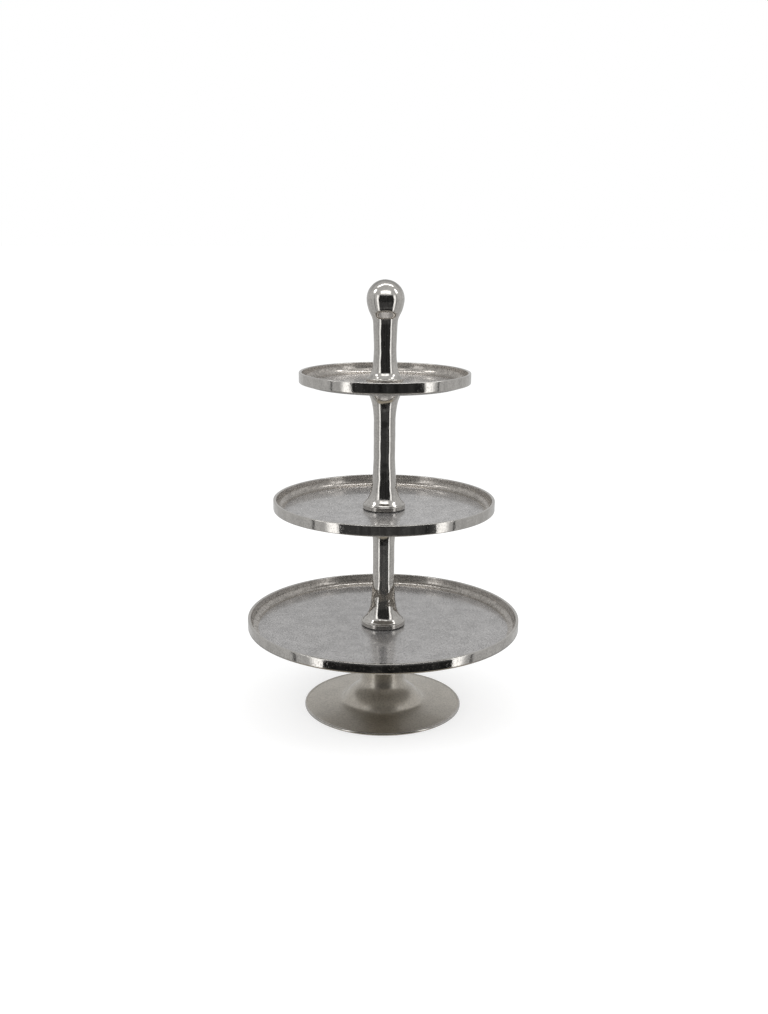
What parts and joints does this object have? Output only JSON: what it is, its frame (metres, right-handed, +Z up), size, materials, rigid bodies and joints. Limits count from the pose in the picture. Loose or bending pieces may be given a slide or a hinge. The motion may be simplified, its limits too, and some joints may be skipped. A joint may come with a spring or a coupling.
{
  "type": "tiered serving stand",
  "caption": "Tiered serving stand with round coved-rim trays on screwed stems, a bell-shaped foot and a ball handle, in nickel-plated cast aluminium.",
  "frame": {"origin": "table level on the stand's axis, at the bottom centre of its box", "axes": "+Z up along the stems, +X to the right and +Y away from a viewer in front"},
  "size_m": [0.4, 0.4, 0.6307],
  "materials": {
    "satin_nickel": "cast aluminium, nickel-plated, satin with a fine cast texture",
    "polished_nickel": "cast aluminium, nickel-plated, hand polished",
    "zinc_steel": "zinc-plated steel",
    "dark_rubber": "matt black rubber",
    "grey_felt": "pressed felt"
  },
  "bodies": {
    "base": {"foot": "satin_nickel", "foot_pad_1": "grey_felt", "foot_pad_2": "grey_felt", "foot_pad_3": "grey_felt", "foot_pad_4": "grey_felt", "foot_bolt": "zinc_steel", "foot_bolt_washer": "zinc_steel", "foot_lock_washer": "zinc_steel"},
    "lower_tray": {"lower_tray": "satin_nickel"},
    "lower_seal": {"lower_stem_washer": "dark_rubber"},
    "lower_stem": {"lower_stem": "polished_nickel", "middle_stud": "zinc_steel"},
    "middle_tray": {"middle_tray": "satin_nickel"},
    "middle_seal": {"middle_stem_washer": "dark_rubber"},
    "middle_stem": {"middle_stem": "polished_nickel", "upper_stud": "zinc_steel"},
    "upper_tray": {"upper_tray": "satin_nickel"},
    "handle_seal": {"handle_washer": "dark_rubber"},
    "handle": {"handle": "polished_nickel"}
  },
  "joints": [
    {"name": "lower_tray_turn", "type": "hinge", "parent": "base", "child": "lower_tray", "pos_m": [0, 0, 0.1271], "axis": [0, 0, 1], "continuous": true},
    {"name": "lower_stem_lift", "type": "slide", "parent": "base", "child": "lower_seal", "axis": [0, 0, 1], "range_m": [0, 0.015]},
    {"name": "lower_stem_screw", "type": "hinge", "parent": "lower_seal", "child": "lower_stem", "pos_m": [0, 0, 0.1285], "axis": [0, 0, 1], "range_deg": [0, 3605]},
    {"name": "middle_tray_turn", "type": "hinge", "parent": "lower_stem", "child": "middle_tray", "pos_m": [0, 0, 0.3045], "axis": [0, 0, 1], "continuous": true},
    {"name": "middle_stem_lift", "type": "slide", "parent": "lower_stem", "child": "middle_seal", "axis": [0, 0, 1], "range_m": [0, 0.015]},
    {"name": "middle_stem_screw", "type": "hinge", "parent": "middle_seal", "child": "middle_stem", "pos_m": [0, 0, 0.3059], "axis": [0, 0, 1], "range_deg": [0, 3605]},
    {"name": "upper_tray_turn", "type": "hinge", "parent": "middle_stem", "child": "upper_tray", "pos_m": [0, 0, 0.4871], "axis": [0, 0, 1], "continuous": true},
    {"name": "handle_lift", "type": "slide", "parent": "middle_stem", "child": "handle_seal", "axis": [0, 0, 1], "range_m": [0, 0.015]},
    {"name": "handle_screw", "type": "hinge", "parent": "handle_seal", "child": "handle", "pos_m": [0, 0, 0.4885], "axis": [0, 0, 1], "range_deg": [0, 3605]}
  ],
  "couplings": [
    {"joint": "lower_stem_screw", "follows": "lower_stem_lift", "rad_per_m": 4188.8},
    {"joint": "middle_stem_screw", "follows": "middle_stem_lift", "rad_per_m": 4188.8},
    {"joint": "handle_screw", "follows": "handle_lift", "rad_per_m": 4188.8}
  ]
}
